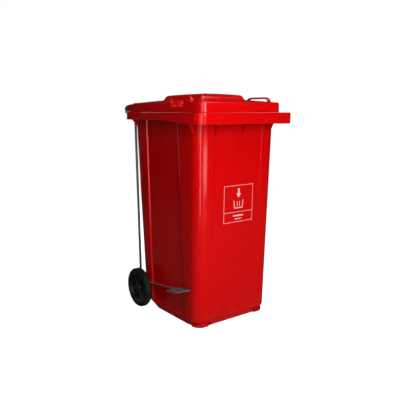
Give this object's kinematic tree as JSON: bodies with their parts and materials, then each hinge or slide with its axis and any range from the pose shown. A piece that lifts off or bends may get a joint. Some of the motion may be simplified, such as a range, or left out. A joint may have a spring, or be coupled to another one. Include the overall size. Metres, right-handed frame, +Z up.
{
  "type": "pedal waste bin",
  "caption": "Tall two-wheeled refuse bin with a hinged lid lifted by a side foot pedal through a lever and an upright rod.",
  "frame": {"origin": "on the floor under the centre of the bounding box; the tub's middle plane is at x = +0.0135 because the pedal stands out on one side", "axes": "-Y is the bin's front, +X is to the right seen from the front, +Z up"},
  "size_m": [0.595, 0.713, 1.08],
  "materials": {
    "body_red": "moulded plastic, glossy",
    "lid_red": "moulded plastic, glossy",
    "pin_black": "moulded plastic, satin",
    "axle_steel": "drawn steel",
    "tyre_black": "solid rubber",
    "hub_black": "moulded plastic, satin",
    "cap_black": "moulded plastic, satin",
    "washer_steel": "zinc plated",
    "rod_steel": "galvanised",
    "plate_steel": "dark grey coating, worn dimples",
    "block_black": "moulded plastic",
    "band_steel": "bright band",
    "print_white": "printed film"
  },
  "bodies": {
    "tub": {"bin_body": "body_red", "wheel_axle": "axle_steel", "axle_cap_left": "cap_black", "axle_cap_right": "cap_black", "axle_washer_left": "washer_steel", "axle_spacer_right": "hub_black", "front_pictogram": "print_white"},
    "lid": {"lid": "lid_red", "hinge_pin_left": "pin_black", "hinge_pin_right": "pin_black"},
    "wheel_left": {"tyre_left": "tyre_black", "wheel_hub_left": "hub_black"},
    "wheel_right": {"tyre_right": "tyre_black", "wheel_hub_right": "hub_black"},
    "pedal_lever": {"pedal_arm": "rod_steel", "pedal_plate": "plate_steel", "pivot_block": "block_black", "arm_band_front": "band_steel", "arm_band_rear": "band_steel"},
    "lift_rod": {"lift_rod": "rod_steel", "rod_washer": "washer_steel", "split_pin": "washer_steel"}
  },
  "joints": [
    {"name": "lid_hinge", "type": "hinge", "parent": "tub", "child": "lid", "pos_m": [0.0135, 0.3185, 1.009], "axis": [-1, 0, 0], "range_deg": [0, 60]},
    {"name": "pedal_pivot", "type": "hinge", "parent": "tub", "child": "pedal_lever", "pos_m": [-0.2145, 0.1805, 0.1], "axis": [1, 0, 0], "range_deg": [0, 19.68]},
    {"name": "rod_pivot", "type": "hinge", "parent": "pedal_lever", "child": "lift_rod", "pos_m": [-0.214, 0.2642, 0.10275], "axis": [1, 0, 0], "range_deg": [-20.05, 0]},
    {"name": "wheel_left_spin", "type": "hinge", "parent": "tub", "child": "wheel_left", "pos_m": [-0.2495, 0.1805, 0.1], "axis": [1, 0, 0], "continuous": true},
    {"name": "wheel_right_spin", "type": "hinge", "parent": "tub", "child": "wheel_right", "pos_m": [0.2765, 0.1805, 0.1], "axis": [1, 0, 0], "continuous": true}
  ],
  "couplings": [
    {"joint": "pedal_pivot", "follows": "lid_hinge", "ratio": 0.32768},
    {"joint": "rod_pivot", "follows": "lid_hinge", "ratio": -0.33389}
  ]
}
